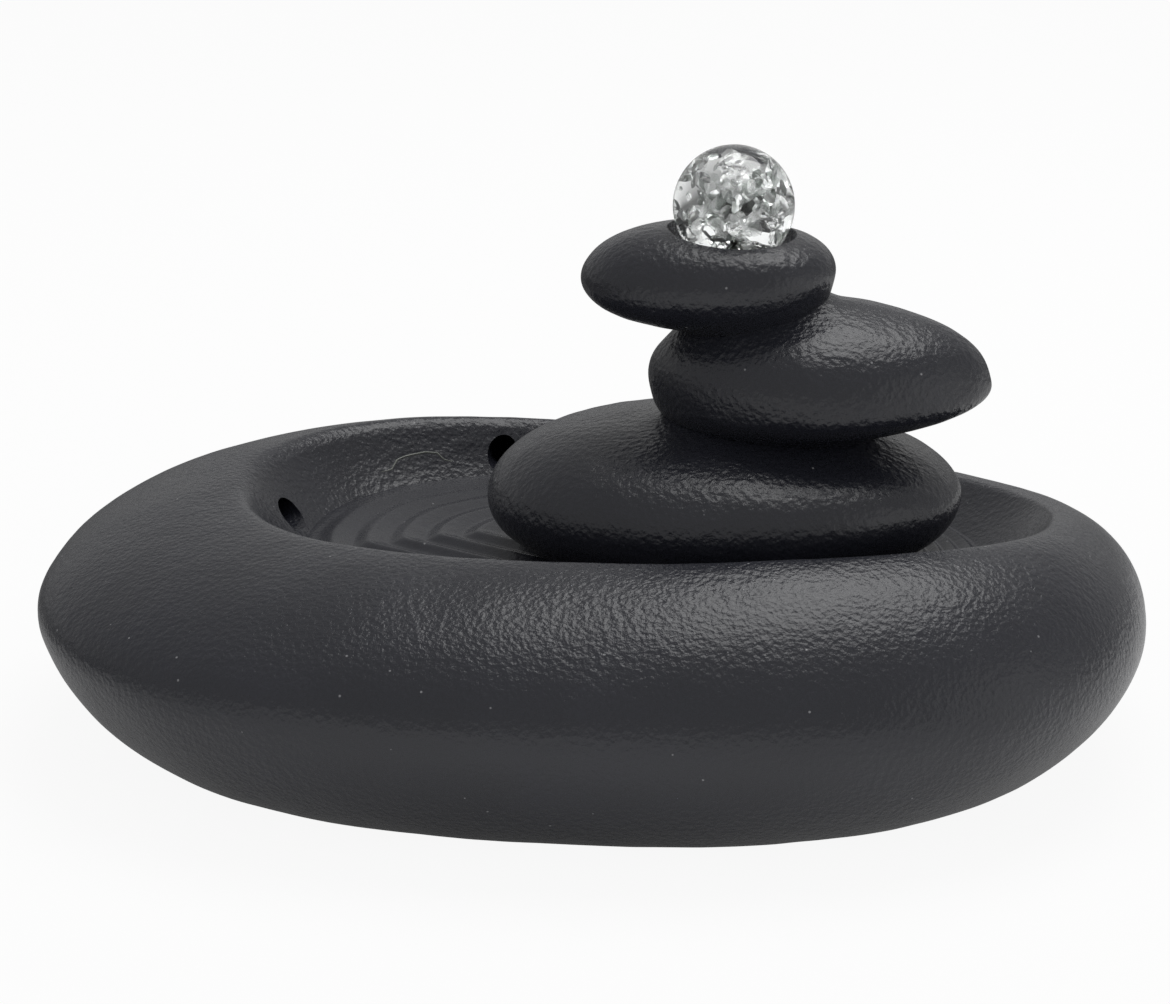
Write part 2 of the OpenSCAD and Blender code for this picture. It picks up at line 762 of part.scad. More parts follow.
module inlet_nut() {
    color([0.12, 0.12, 0.12])
    difference() {
        translate([inlet_x, inlet_y - 9, inlet_z]) rotate([-90, 0, 0])
            cylinder(r = 6.5, h = 3, $fn = 6);
        on_inlet(4, -10, 0);
    }
}

LEAD_A = [pump_x0 + 10, stack_y + pump_w / 2 - 2, pump_z0 + 5];
LEAD_PTS = [LEAD_A, LEAD_A + [0, 7, 0], [14, 38, tank_z + 1.7], [18, 55, tank_z + 1.7],
    [inlet_x, inlet_y - 20, inlet_z], [inlet_x, inlet_y - 14, inlet_z]];

module pump_lead() {
    color([0.08, 0.08, 0.08])
    union() {
        for (i = [0:len(LEAD_PTS) - 2]) {
            v = LEAD_PTS[i + 1] - LEAD_PTS[i];
            translate(LEAD_PTS[i])
                rotate([0, acos(v[2] / norm(v)), atan2(v[1], v[0])])
                    cylinder(r = 1.5, h = norm(v));
        }
        for (i = [1:len(LEAD_PTS) - 2])
            translate(LEAD_PTS[i]) sphere(r = 1.6, $fn = 24);
    }
}

basin_casting();
base_plate();
base_seal();
foot_pad_a();
foot_pad_b();
foot_pad_c();
foot_pad_d();
stone_lower();
stone_middle();
stone_upper();
dowel_lower();
dowel_upper();
glass_ball();
ball_seat();
riser_tube();
riser_grommet();
led_housing();
led_potting();
led_board();
led_lens();
led_emitter_a();
led_emitter_b();
led_emitter_c();
led_lead();
led_plug();
led_socket();
pump_housing();
pump_back_cover();
driver_board();
stator_core();
stator_coil();
pump_shaft();
rotor_magnet();
impeller();
volute_cover();
front_bush();
cover_seal();
flow_slider();
suction_foot_a();
suction_foot_b();
suction_foot_c();
suction_foot_d();
pump_lead();
power_inlet();
inlet_pin();
inlet_washer();
inlet_nut();
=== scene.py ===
import math

import bpy
import numpy as np
from mathutils import Matrix, Vector, noise
from mathutils.bvhtree import BVHTree


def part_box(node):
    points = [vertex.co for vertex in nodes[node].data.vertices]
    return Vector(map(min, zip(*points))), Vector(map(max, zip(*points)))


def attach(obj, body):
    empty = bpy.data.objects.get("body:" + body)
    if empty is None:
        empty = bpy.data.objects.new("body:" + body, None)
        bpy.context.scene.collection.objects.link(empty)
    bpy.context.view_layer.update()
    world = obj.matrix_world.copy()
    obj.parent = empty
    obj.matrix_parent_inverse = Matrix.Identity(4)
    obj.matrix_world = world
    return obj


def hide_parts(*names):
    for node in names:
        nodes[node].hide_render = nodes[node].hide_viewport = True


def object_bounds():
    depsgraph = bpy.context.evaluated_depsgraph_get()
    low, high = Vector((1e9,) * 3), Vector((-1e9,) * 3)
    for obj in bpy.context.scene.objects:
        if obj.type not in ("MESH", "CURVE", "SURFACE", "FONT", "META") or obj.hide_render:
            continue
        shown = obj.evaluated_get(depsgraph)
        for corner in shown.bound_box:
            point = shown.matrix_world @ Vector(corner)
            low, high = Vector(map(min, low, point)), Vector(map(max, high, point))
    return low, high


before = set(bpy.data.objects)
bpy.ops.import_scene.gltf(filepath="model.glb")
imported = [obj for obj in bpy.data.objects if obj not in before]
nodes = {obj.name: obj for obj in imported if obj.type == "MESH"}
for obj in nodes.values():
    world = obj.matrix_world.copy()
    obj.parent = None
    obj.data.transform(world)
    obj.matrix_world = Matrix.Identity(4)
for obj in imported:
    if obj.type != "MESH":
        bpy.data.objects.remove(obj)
cad_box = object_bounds()


# Camera. It stands in front of the fountain, a little to its right and above it,
# with a long lens, so the bowl is seen as a low oval.
aim = math.radians(6.4)
eye_height, look_height, distance = 0.340, 0.060, 0.850
side = Vector((math.cos(aim), math.sin(aim), 0))
ahead = Vector((-math.sin(aim), math.cos(aim), 0))
off_middle = side * 0.0017 + ahead * 0.00108
target = Vector((0, 0, look_height)) - off_middle
stand = Vector((0, 0, eye_height)) - off_middle - ahead * distance
lens = bpy.data.cameras.new("camera")
lens.sensor_fit = "HORIZONTAL"
lens.sensor_width = 36
lens.lens = 109.69
lens.clip_start = 0.01
camera = bpy.data.objects.new("camera", lens)
bpy.context.scene.collection.objects.link(camera)
camera.location = stand
camera.rotation_euler = (target - stand).to_track_quat("-Z", "Y").to_euler()
bpy.context.scene.camera = camera
bpy.context.scene.view_settings.view_transform = "Standard"


# Studio. A white sheet of paper lies under the fountain and runs off to a white surround.
# One big soft light hangs above, behind and to the right, with a weaker one for fill.
class Wire:
    """A shader socket that adds, multiplies and so on like a number."""

    def __init__(self, tree, socket=None):
        self.tree = tree
        self.socket = socket

    def node(self, kind, settings=None, inputs=None, out=0):
        """One node, its settings first, then its sockets' values or links; one output comes back."""
        made = self.tree.nodes.new("ShaderNode" + kind)
        for name, value in (settings or {}).items():
            if name == "stops":
                ramp = made.color_ramp
                ramp.elements.remove(ramp.elements[1])
                for n, (place, shade) in enumerate(value):
                    stop = ramp.elements[0] if n == 0 else ramp.elements.new(place)
                    stop.position = place
                    grey = not isinstance(shade, tuple)
                    stop.color = (shade, shade, shade, 1) if grey else (*shade, 1)
            else:
                setattr(made, name, value)
        for name, value in (inputs or {}).items():
            if isinstance(value, Wire):
                self.tree.links.new(value.socket, made.inputs[name])
            else:
                made.inputs[name].default_value = value
        return Wire(self.tree, made.outputs[out] if made.outputs else None)

    def worked(self, operation, first, second):
        return self.node("Math", {"operation": operation}, {0: first, 1: second})

    def __add__(self, other):
        return self.worked("ADD", self, other)

    def __radd__(self, other):
        return self.worked("ADD", other, self)

    def __sub__(self, other):
        return self.worked("SUBTRACT", self, other)

    def __rsub__(self, other):
        return self.worked("SUBTRACT", other, self)

    def __mul__(self, other):
        return self.worked("MULTIPLY", self, other)

    def __rmul__(self, other):
        return self.worked("MULTIPLY", other, self)

    def __pow__(self, other):
        return self.worked("POWER", self, other)


def new_finish(name):
    finish = bpy.data.materials.new(name)
    finish.use_nodes = True
    finish.node_tree.nodes.clear()
    return finish, Wire(finish.node_tree)


paper_albedo = (0.80, 0.80, 0.80, 1)
half_l, half_w = cad_box[1][0], cad_box[1][1]
paper, w = new_finish("floor_paper")
spot = w.node("TexCoord", None, None, "Object")
# Painted light: what the paper shows in reflections is made brighter to the right and darker to the
# back left, as lamp falloff would make it.
painted_floor_light = 0.80 + w.node("SeparateXYZ", None, {"Vector": spot}, "X") * 1.6
painted_floor_light = painted_floor_light - w.node("SeparateXYZ", None, {"Vector": spot}, "Y") * 2.2
painted_floor_light = w.node("Clamp", None, {"Value": painted_floor_light, "Min": 0.12, "Max": 1.1})
# Painted shadow: that reflected brightness is darkened round the fountain's foot, since the emission
# gets no real shadow there.
reach = w.node("VectorMath", {"operation": "MULTIPLY"}, {0: spot, 1: (1 / half_l, 1 / half_w, 0)})
reach = w.node("VectorMath", {"operation": "LENGTH"}, {0: reach}, "Value")
painted_contact_shadow = w.node("MapRange", {"interpolation_type": "SMOOTHSTEP"}, {
    "Value": reach, "From Min": 0.70, "From Max": 1.3, "To Min": 0.12, "To Max": 1.0})
painted_floor_light = painted_floor_light * painted_contact_shadow
mirrored = w.node("LightPath", None, None, "Is Glossy Ray")
seen = w.node("LightPath", None, None, "Is Camera Ray")
seen = seen + w.node("LightPath", None, None, "Is Transmission Ray") + mirrored
lit = w.node("BsdfDiffuse", None, {"Color": paper_albedo})
# Glossy rays see the painted light and painted shadow as the emission's strength; camera rays see
# plain white.
white = w.node("Emission", None, {"Color": (1, 1, 1, 1),
                                  "Strength": 1 - mirrored * (1 - painted_floor_light)})
both = w.node("MixShader", None, {"Fac": seen * 0.92, 1: lit, 2: white})
w.node("OutputMaterial", None, {"Surface": both})

bpy.ops.object.select_all(action="DESELECT")
bpy.ops.mesh.primitive_plane_add(size=12, location=(0, 0, -0.0004))
floor = bpy.context.active_object
floor.name = "floor"
floor.data.materials.append(paper)

world = bpy.data.worlds.new("surround")
bpy.context.scene.world = world
world.use_nodes = True
world.node_tree.nodes.clear()
w = Wire(world.node_tree)
way = w.node("TexCoord", None, None, "Generated")
room = 0.54 + w.node("SeparateXYZ", None, {"Vector": way}, "X") * 0.03
behind = w.node("SeparateXYZ", None, {"Vector": way}, "Y")
room = room - behind * 0.13 + w.node("Clamp", None, {"Value": behind}) ** 16 * 0.24
shown = w.node("LightPath", None, None, "Is Camera Ray")
shown = shown + w.node("LightPath", None, None, "Is Transmission Ray")
around = w.node("Background", None, {
    "Color": (1, 1, 1, 1), "Strength": room + shown * (1 - room)})
w.node("OutputWorld", None, {"Surface": around})


def soft_light(name, place, aimed, size, watts):
    lamp = bpy.data.lights.new(name, "AREA")
    lamp.shape = "DISK"
    lamp.size = size
    lamp.energy = watts
    holder = bpy.data.objects.new(name, lamp)
    bpy.context.scene.collection.objects.link(holder)
    holder.location = place
    holder.rotation_euler = (Vector(aimed) - Vector(place)).to_track_quat("-Z", "Y").to_euler()


soft_light("key_light", (0.19, 0.32, 1.07), aimed=(0.02, 0, 0.07), size=0.84, watts=6.3)
soft_light("right_fill", (1.2, -0.35, 0.35), aimed=(0, 0, 0.05), size=1.0, watts=1.2)


# Bowl. A hollow casting of black polyresin with a hammered skin, shaped like a worn river
# stone. Its top is a shallow pool with a raked floor, two drain slots and an oval well.
def resin_finish(name, grain, tone, calm=None, blue=1.45):
    """Dark resin with dents about a grain wide, smoother inside the calm oval if there is one."""
    finish, w = new_finish(name)
    place = w.node("TexCoord", None, None, "Object")
    stir = w.node("TexNoise", {"noise_dimensions": "3D"},
                  {"Vector": place, "Scale": 260.0, "Detail": 2.0}, "Color")
    bent = w.node("VectorMath", {"operation": "MULTIPLY_ADD"},
                  {0: stir, 1: (0.0011,) * 3, 2: place})
    dents = w.node("TexVoronoi", {"feature": "SMOOTH_F1"},
                   {"Vector": bent, "Scale": 0.7 / grain, "Smoothness": 0.35, "Randomness": 1.0},
                   "Distance")
    fine = w.node("TexNoise", None, {"Vector": place, "Scale": 1.5 / grain, "Detail": 2.0,
                                     "Roughness": 0.5}, 0)
    broad = w.node("TexNoise", None, {"Vector": place, "Scale": 210.0, "Detail": 1.0}, 0)
    patch = w.node("TexNoise", None, {"Vector": place, "Scale": 34.0, "Detail": 3.0}, 0)
    height = dents * 0.75 + fine * 0.68 + broad * 0.3
    height = height * (0.35 + patch * 1.2)
    if calm:
        away = w.node("VectorMath", {"operation": "SUBTRACT"}, {0: place, 1: (*calm[0], 0)})
        away = w.node("VectorMath", {"operation": "MULTIPLY"}, {0: away, 1: (*calm[1], 0)})
        away = w.node("VectorMath", {"operation": "LENGTH"}, {0: away}, "Value")
        height = height * w.node("MapRange", None, {
            "Value": away, "From Min": 0.94, "From Max": 1.02, "To Min": 0.25, "To Max": 1.0})
    shade = w.node("ValToRGB", {"stops": [
        (0.30, (tone * 0.80, tone * 0.84, tone * 0.80 * blue)),
        (0.55, (tone, tone * 1.05, tone * blue)),
        (0.78, (tone * 1.3, tone * 1.36, tone * 1.3 * blue))]},
        {"Fac": patch * 0.55 + fine * 0.45})
    specks = w.node("TexVoronoi", {"feature": "F1"}, {"Vector": place, "Scale": 140.0}, "Distance")
    dust = w.node("ValToRGB", {"stops": [(0.0, 1.0), (0.034, 1.0), (0.046, 0.0)]},
                  {"Fac": specks})
    colour = w.node("Mix", {"data_type": "RGBA"}, {0: dust * 0.6, 6: shade,
                                                   7: (0.30, 0.30, 0.31, 1)}, 2)
    rough = 0.18 + fine * 0.12 + patch * 0.08
    bump = w.node("Bump", None, {"Strength": 1.0, "Distance": grain * 0.22, "Height": height},
                  "Normal")
    skin = w.node("BsdfPrincipled", None, {
        "Base Color": colour, "Roughness": rough, "Specular IOR Level": 0.42,
        "IOR": 1.5, "Normal": bump})
    w.node("OutputMaterial", None, {"Surface": skin})
    return finish


def dress(name, finish):
    """Gives a carried-over node its finish."""
    nodes[name].data.materials.clear()
    nodes[name].data.materials.append(finish)
    for face in nodes[name].data.polygons:
        face.material_index = 0


def settle(piece, name, finish, body, replaced=None):
    """Names a new piece, gives it its finish and lets it ride on its body."""
    piece.name = name
    piece.data.name = name
    piece.data.materials.clear()
    piece.data.materials.append(finish)
    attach(piece, body)
    if replaced:
        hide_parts(replaced)


def pick(piece):
    """Makes the piece the only one that the operators act on."""
    bpy.ops.object.select_all(action="DESELECT")
    bpy.context.view_layer.objects.active = piece
    piece.select_set(True)


def cut_away(piece, cutter):
    pick(piece)
    knife = piece.modifiers.new("cut", "BOOLEAN")
    knife.operation = "DIFFERENCE"
    knife.solver = "EXACT"
    knife.object = cutter
    bpy.ops.object.modifier_apply(modifier="cut")
    bpy.data.objects.remove(cutter)


def round_cutter(radius, low, high, place, sides=96):
    bpy.ops.object.select_all(action="DESELECT")
    bpy.ops.mesh.primitive_cylinder_add(
        vertices=sides, radius=radius, depth=high - low,
        location=(place[0], place[1], (low + high) / 2))
    cutter = bpy.context.active_object
    bpy.ops.object.transform_apply(location=True, rotation=True, scale=True)
    return cutter


def roll_up(rows):
    """A grid laid on rows of points in metres, with its seams and poles closed."""
    bpy.ops.object.select_all(action="DESELECT")
    bpy.ops.mesh.primitive_grid_add(
        x_subdivisions=rows.shape[1] - 1, y_subdivisions=rows.shape[0] - 1, size=0.3)
    piece = bpy.context.active_object
    piece.data.vertices.foreach_set("co", rows.astype(np.float32).ravel())
    piece.data.update()
    bpy.ops.object.mode_set(mode="EDIT")
    bpy.ops.mesh.select_all(action="SELECT")
    bpy.ops.mesh.remove_doubles(threshold=0.000002)
    bpy.ops.mesh.normals_make_consistent(inside=False)
    bpy.ops.object.mode_set(mode="OBJECT")
    return piece


def signed_power(value, power):
    return np.sign(value) * np.abs(value) ** power


bowl_l, bowl_w = np.round((np.array(cad_box[1]) - np.array(cad_box[0]))[:2] * 1000, 1)
wall_t = 5.5
rim_h, rim_rise, rim_twist = 58.4, 6.0, 6.7
low_pow, up_pow, plan_pow, foot_z = 1.6, 1.62, 0.83, 0.4
pool_l, pool_w, pool_turn, pool_pow = 205.6, 142.6, math.radians(-6.3), 0.91
pool_mid = np.array([12.2, 12.3])
foot_ratio, floor_ratio, floor_z, tank_z = 0.745, 0.85, 43.0, 5.0
shelf_z = tank_z + 3
ripple_h, ripple_w, run = 1.8, 9.2, 80.0
bend_at, bend_x, bend_y = 43.7, 0.593, 1.053
well_l, well_w, curb_z = 49.0, 35.0, 44.7
ball_low, ball_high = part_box("glass_ball")
stack = np.round((np.array(ball_low) + np.array(ball_high)) * 500, 1)[:2]
columns = 352
turn = np.radians(np.arange(columns) * 360.0 / columns)
belly_z = 36.6 - 1.8 * np.cos(turn)
crest_z = rim_h - rim_rise * np.sin(turn) - rim_twist * np.sin(turn) * np.cos(turn)


def bowl_line(inset):
    return np.stack([(bowl_l / 2 - inset) * signed_power(np.cos(turn), plan_pow),
                     (bowl_w / 2 - inset) * signed_power(np.sin(turn), plan_pow)], -1)


def pool_line(ratio, outset=0.0):
    x = (pool_l / 2 * ratio + outset) * signed_power(np.cos(turn), pool_pow)
    y = (pool_w / 2 * ratio + outset) * signed_power(np.sin(turn), pool_pow)
    c, s = math.cos(pool_turn), math.sin(pool_turn)
    return np.stack([x * c - y * s, x * s + y * c], -1) + pool_mid


def well_line(outset):
    return np.stack([(well_l / 2 + outset) * np.cos(turn),
                     (well_w / 2 + outset) * np.sin(turn)], -1) + stack - [0.6, 0]


def plate_line(outset):
    half = np.array([bowl_l, bowl_w]) / 2 * foot_ratio - 6 + outset
    return np.stack([half[0] * signed_power(np.cos(turn), plan_pow),
                     half[1] * signed_power(np.sin(turn), plan_pow)], -1)


def ring(line, z):
    return np.column_stack([line, np.broadcast_to(z, columns)])


def low_ring(t, inset):
    a = math.radians(90 * t)
    k = math.sin(a) ** (2 / low_pow)
    h = 1 - math.cos(a) ** (2 / low_pow)
    line = bowl_line(inset) * (foot_ratio + (1 - foot_ratio) * k)
    return ring(line, foot_z + (belly_z - foot_z) * h)


def up_ring(t, inset, top, drop):
    a = math.radians(90 * t)
    k = 1 - math.cos(a) ** (2 / up_pow)
    h = math.sin(a) ** (2 / up_pow)
    line = bowl_line(inset)
    return ring(line + (pool_line(1, top) - line) * k, belly_z + (crest_z - drop - belly_z) * h)


def wall_line(t):
    return pool_line(1 + (floor_ratio - 1) * t) + t * np.array([-0.5, 2.2])


def wall_ring(t):
    return ring(wall_line(t), crest_z - 0.5 + (floor_z - crest_z + 0.5) * t * (1.25 - 0.25 * t))


def rake(line, t):
    """Height of the raked sand at points of the floor: steep outer sides, gentle inner ones."""
    wander = np.array([noise.noise(Vector((x / 26, y / 26, 3.0))) for x, y in line])
    along = run * t + 1.2 * wander
    slant = bend_at + bend_x * line[:, 0] + bend_y * line[:, 1]
    near = -0.7 * np.logaddexp(-along / 0.7, -np.clip(slant, -60, 90) / 0.7)
    part = np.mod(near / ripple_w - 0.03, 1.0)
    side = np.interp(part, [0, 0.24, 0.32, 0.50, 0.68, 0.73, 1.0],
                     [0.50, 0.10, 0.11, 0.5, 0.94, 0.92, 0.50])
    fade = np.clip((line[:, 1] - 14) / 46, 0, 1)
    ends = np.clip(t / 0.04, 0, 1) * np.clip((1 - t) / 0.15, 0, 1)
    return ripple_h * side * ends * (1 - 0.75 * fade)


profile = [low_ring(t, 0) for t in np.linspace(0, 1, 42)]
belly = len(profile) - 1
profile += [up_ring(t, 0, 1.5, 0) for t in np.linspace(0, 1, 40)[1:-1]]
profile += [ring(pool_line(1, 1.7), crest_z - 0.05), ring(pool_line(1, 1.1), crest_z - 0.04),
            ring(pool_line(1, 0.5), crest_z - 0.14), ring(pool_line(1, 0.12), crest_z - 0.42)]
wall_from = len(profile)
profile += [wall_ring(t) for t in np.linspace(0.03, 0.985, 30) ** 1.3]
rake_from = len(profile)
for t in np.linspace(0, 1, 112):
    line = wall_line(1) * (1 - t) + well_line(4.8) * t
    profile.append(ring(line, floor_z + 0.4 * t + rake(line, t)))
rake_to = len(profile)
profile += [ring(well_line(4.2), curb_z - 0.4), ring(well_line(3.8), curb_z - 0.05),
            ring(well_line(3.0), curb_z), ring(well_line(0.5), curb_z),
            ring(well_line(0.1), curb_z - 0.2), ring(well_line(0), curb_z - 0.6),
            ring(well_line(0), 39), ring(pool_line(floor_ratio, 3), 39)]
profile += [up_ring(t, wall_t, wall_t, wall_t + 0.5) for t in (1, 0.8, 0.6, 0.4, 0.2)]
profile += [low_ring(t, wall_t) for t in (1, 0.8, 0.6)]
profile += [ring(low_ring(0.4, wall_t)[:, :2], shelf_z), ring(plate_line(-4.5), shelf_z),
            ring(plate_line(-4.5), tank_z), ring(plate_line(0.4), tank_z),
            ring(plate_line(0.4), 1.0), ring(plate_line(0.8), foot_z)]
skin = np.stack(profile, 1)


def wear_round(middle, before, after, most, reach):
    """Rounds the skin along its profile near one row, most mm at that row."""
    outer = skin[:, :rake_from].copy()
    step = np.linalg.norm(np.diff(outer, axis=1), axis=-1)
    travel = np.concatenate([np.zeros((columns, 1)), np.cumsum(step, 1)], 1)
    share = np.gradient(travel, axis=1)
    for j in range(middle - before, middle + after):
        away = travel - travel[:, j:j + 1]
        width = 0.3 + most * np.exp(-(away[:, middle] / reach) ** 2)
        weight = share * np.exp(-(away / width[:, None]) ** 2 / 2)
        skin[:, j] = (outer * weight[..., None]).sum(1) / weight.sum(1)[:, None]


wear_round(belly, before=26, after=30, most=3.6, reach=14)
back = np.clip(np.cos(turn - math.radians(130)) + 0.3, 0, 1)
wear_round(wall_from, before=12, after=22, most=0.25 + 1.9 * back, reach=6)

along = np.roll(skin, -1, 0) - np.roll(skin, 1, 0)
across = np.roll(skin, -1, 1) - np.roll(skin, 1, 1)
normal = np.cross(along, across)
normal /= np.linalg.norm(normal, axis=-1, keepdims=True) + 1e-9
for i in range(columns):
    angle = 360.0 * i / columns
    for j in range(rake_to):
        at = Vector(skin[i, j])
        if j < wall_from:
            lump = 0.26 * noise.noise(at / 24) + 0.08 * noise.noise(at / 7 + Vector((9, 0, 0)))
            lump *= min(1.0, j / 6)
        elif j < rake_from:
            deep = math.sin(math.pi * (j - wall_from + 1) / 31)
            rough = 0.05 + 0.30 * math.exp(-((angle - 116) / 22) ** 2)
            lump = deep * rough * (0.6 * noise.noise(Vector((at.x / 11, at.y / 11, at.z / 4)))
                                   + 0.3 * noise.noise(Vector((at.x / 5, at.y / 5, at.z / 1.9))))
        else:
            lump = 0.07 * noise.noise(at / 3.2)
        skin[i, j] += normal[i, j] * lump

closed = np.concatenate([skin, skin[:1]], 0)
bowl = roll_up(np.concatenate([closed, closed[:, :1]], 1) * 0.001)


def drain_cutter(angle, pointing, rise, wide, high):
    """A round-ended slot on the pool wall at an angle, turned the way it points."""
    x, y = wall_line(0.7)[int(round(angle * columns / 360.0)) % columns]
    bpy.ops.object.select_all(action="DESELECT")
    bpy.ops.mesh.primitive_cylinder_add(vertices=64, radius=0.0038, depth=0.019,
                                        rotation=(math.pi / 2, 0, 0))
    cutter = bpy.context.active_object
    bpy.ops.object.transform_apply(location=False, rotation=True, scale=True)
    for v in cutter.data.vertices:
        v.co.z += 0.0003 if v.co.z > 0.0001 else -0.0003
        v.co = Vector((v.co.x * wide, v.co.y + 0.0041, v.co.z * high))
    way = math.radians(pointing - 90)
    cutter.data.transform(Matrix.Translation(Vector((x, y, floor_z + 4.1 + rise)) * 0.001)
                          @ Matrix.Rotation(way, 4, "Z"))
    return cutter


cut_away(bowl, drain_cutter(angle=184, pointing=150, rise=0.1, wide=1.35, high=0.85))
cut_away(bowl, drain_cutter(angle=122.2, pointing=90, rise=0.9, wide=1, high=1))
socket_x, socket_z = 0.020, 0.022
for radius, start, end in ((0.009, 0.0975, 0.1175), (0.009, 0.0825, 0.0925),
                           (0.004, 0.0835, 0.1035)):
    cutter = round_cutter(radius, start, end, (0, 0), 64)
    cutter.data.transform(Matrix.Translation((socket_x, 0, socket_z))
                          @ Matrix.Rotation(-math.pi / 2, 4, "X"))
    cut_away(bowl, cutter)
bpy.ops.object.shade_smooth_by_angle(angle=math.radians(40))
rake_mid, rake_half = (0.0117, 0.0145), (0.0874, 0.0606)
bowl_skin = resin_finish("hammered_resin_bowl", grain=0.0011, tone=0.015,
                         calm=(rake_mid, (1 / rake_half[0], 1 / rake_half[1])))
settle(bowl, "bowl_casting", bowl_skin, "base", "basin_casting")

vein_path = [(-63.8, 57.6, 46.9), (-62.4, 58.9, 46.9), (-61.0, 60.3, 47.0), (-60.0, 63.0, 48.8),
             (-58.6, 64.5, 49.2), (-56.9, 65.9, 49.4), (-53.1, 68.4, 49.6), (-50.0, 69.7, 49.0),
             (-48.9, 69.4, 48.0), (-47.9, 69.3, 47.3), (-46.5, 69.6, 46.9), (-45.2, 70.1, 46.8)]


def cast_vein(path, fattest):
    """A fine raised line in the casting, laid along points found on the pool wall."""
    mesh_tree = BVHTree.FromObject(bowl, bpy.context.evaluated_depsgraph_get())
    points = []
    for spot, after in zip(path, path[1:]):
        for t in np.linspace(0, 1, 6)[:-1]:
            at = Vector(spot).lerp(Vector(after), t) * 0.001
            found = mesh_tree.find_nearest(at)
            points.append((found[0] - found[1] * 0.00005, found[1]))
    last, sides = len(points) - 1, 8
    rows = []
    for n, (at, out) in enumerate(points):
        onward = (points[min(n + 1, last)][0] - points[max(n - 1, 0)][0]).normalized()
        across = onward.cross(out).normalized()
        thick = fattest * max(0.0, math.sin(math.pi * n / last)) ** 0.4
        turns = [2 * math.pi * k / sides for k in range(sides + 1)]
        rows.append([at + (across * math.cos(a) + out * math.sin(a)) * thick for a in turns])
    strand = roll_up(np.array(rows))
    bpy.ops.object.shade_smooth()
    return strand


vein_skin = resin_finish("worn_resin_vein", grain=0.0011, tone=0.15, blue=0.95)
settle(cast_vein(vein_path, fattest=0.00028), "cast_vein", vein_skin, "base")


# Stones. Three flat river stones cast in the same black polyresin, stacked off centre. The
# lowest is hollow over the pump, and the top one is cupped for the glass ball.
def pebble(middle, half, taper, tilt, lean, powers):
    """A flat river stone: half lengths along x, y, up and down, tapered, leaning and tilted."""
    bpy.ops.object.select_all(action="DESELECT")
    bpy.ops.mesh.primitive_uv_sphere_add(segments=176, ring_count=112, radius=1)
    piece = bpy.context.active_object
    co = np.empty(len(piece.data.vertices) * 3, np.float32)
    piece.data.vertices.foreach_get("co", co)
    co = co.reshape(-1, 3).astype(float)
    up = np.arcsin(np.clip(co[:, 2], -1, 1))
    about = np.arctan2(co[:, 1], co[:, 0])
    r = np.abs(np.cos(up)) ** powers[0]
    q = signed_power(np.sin(up), powers[1])
    x = half[0] * r * signed_power(np.cos(about), powers[2])
    s = 1 - taper * x / half[0]
    y = half[1] * r * signed_power(np.sin(about), powers[2]) * s
    z = np.where(q > 0, half[2], half[3]) * q * s
    x = x + lean * z
    a = math.radians(tilt)
    co = np.stack([x * math.cos(a) - z * math.sin(a), y, x * math.sin(a) + z * math.cos(a)], -1)
    piece.data.vertices.foreach_set("co", ((co + middle) * 0.001).astype(np.float32).ravel())
    piece.data.update()
    return piece


lower = pebble([32.6, 8, 61.4], [59.1, 44.4, 19.6, 20.4], taper=0.042, tilt=-2.2, lean=0.328,
               powers=[0.83, 0.969, 0.957])
middle = pebble([56.3, 8, 90.0], [42.4, 30.4, 23, 13.3], taper=0.046, tilt=3.8, lean=-0.171,
                powers=[1.45, 0.752, 1.2])
upper = pebble([27.9, 8, 117.4], [30.7, 24, 12.9, 12.6], taper=-0.046, tilt=-4.2, lean=0.444,
               powers=[0.716, 0.971, 0.97])


def solid_of(piece):
    return BVHTree.FromPolygons([v.co.copy() for v in piece.data.vertices],
                                [list(p.vertices) for p in piece.data.polygons])


def outside(tree, point):
    near, normal, _, distance = tree.find_nearest(point)
    return distance if (point - near).dot(normal) > 0 else -distance


def fillet_and_roughen(piece, others, seed):
    """Swells the skin towards the stones it touches, and gives it a hand-worked unevenness."""
    reach = 0.0062
    moved = []
    for v in piece.data.vertices:
        swell = 0.0
        for tree in others:
            gap = outside(tree, v.co)
            if -reach < gap < reach:
                swell = max(swell, (reach - gap) ** 2 / (4 * reach) if gap > 0 else reach / 4)
        p = v.co * 1000 + Vector((seed, 0, 0))
        lump = 0.24 * noise.noise(p / 15) + 0.09 * noise.noise(p / 5)
        moved.append(v.co + v.normal * (swell + lump * 0.001))
    for v, place in zip(piece.data.vertices, moved):
        v.co = place
    piece.data.update()


trees = {"lower": solid_of(lower), "middle": solid_of(middle), "upper": solid_of(upper)}
fillet_and_roughen(lower, [trees["middle"]], seed=11)
fillet_and_roughen(middle, [trees["lower"], trees["upper"]], seed=37)
fillet_and_roughen(upper, [trees["middle"]], seed=73)


def slice_off(piece, place, normal):
    """Cuts the piece by a plane, drops what is on the normal's side and closes the cut."""
    pick(piece)
    bpy.ops.object.mode_set(mode="EDIT")
    bpy.ops.mesh.select_all(action="SELECT")
    bpy.ops.mesh.bisect(plane_co=place, plane_no=normal, use_fill=True, clear_outer=True)
    bpy.ops.object.mode_set(mode="OBJECT")


def seat_normal(tilt, up):
    a = math.radians(tilt)
    return Vector((-math.sin(a), 0, math.cos(a))) * up


